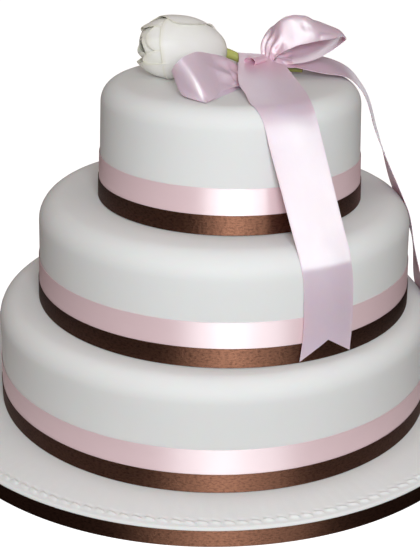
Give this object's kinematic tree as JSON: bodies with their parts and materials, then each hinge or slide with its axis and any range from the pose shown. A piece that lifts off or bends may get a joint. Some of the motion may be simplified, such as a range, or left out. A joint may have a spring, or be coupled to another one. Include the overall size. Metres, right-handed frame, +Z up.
{
  "type": "tiered wedding cake",
  "caption": "Round tiered wedding cake covered in white sugar paste on an iced board, with pink and brown satin ribbon round each tier and a white rosebud with a pink bow on top.",
  "frame": {"origin": "centre of the board's underside, on the surface that the cake stands on", "axes": "+Z up through the tiers, -Y towards the front where the bow's long tail hangs, +X to the right seen from the front"},
  "size_m": [0.4062, 0.4062, 0.2768],
  "materials": {
    "icing": "smooth white sugar paste with a slight sheen",
    "foil_card": "silver foil paper over a card drum",
    "pink_satin": "pale pink satin ribbon",
    "brown_satin": "dark chocolate brown satin ribbon",
    "petal": "ivory white rose petals",
    "stem": "green flower stem"
  },
  "bodies": {
    "root": {"board_drum": "foil_card", "board_icing": "icing", "board_ribbon": "brown_satin", "tier_bottom": "icing", "ribbon_pink_bottom": "pink_satin", "ribbon_brown_bottom": "brown_satin", "tier_middle": "icing", "ribbon_pink_middle": "pink_satin", "ribbon_brown_middle": "brown_satin", "tier_top": "icing", "ribbon_pink_top": "pink_satin", "ribbon_brown_top": "brown_satin", "rose": "petal", "stem": "stem", "bow": "pink_satin"}
  },
  "joints": []
}
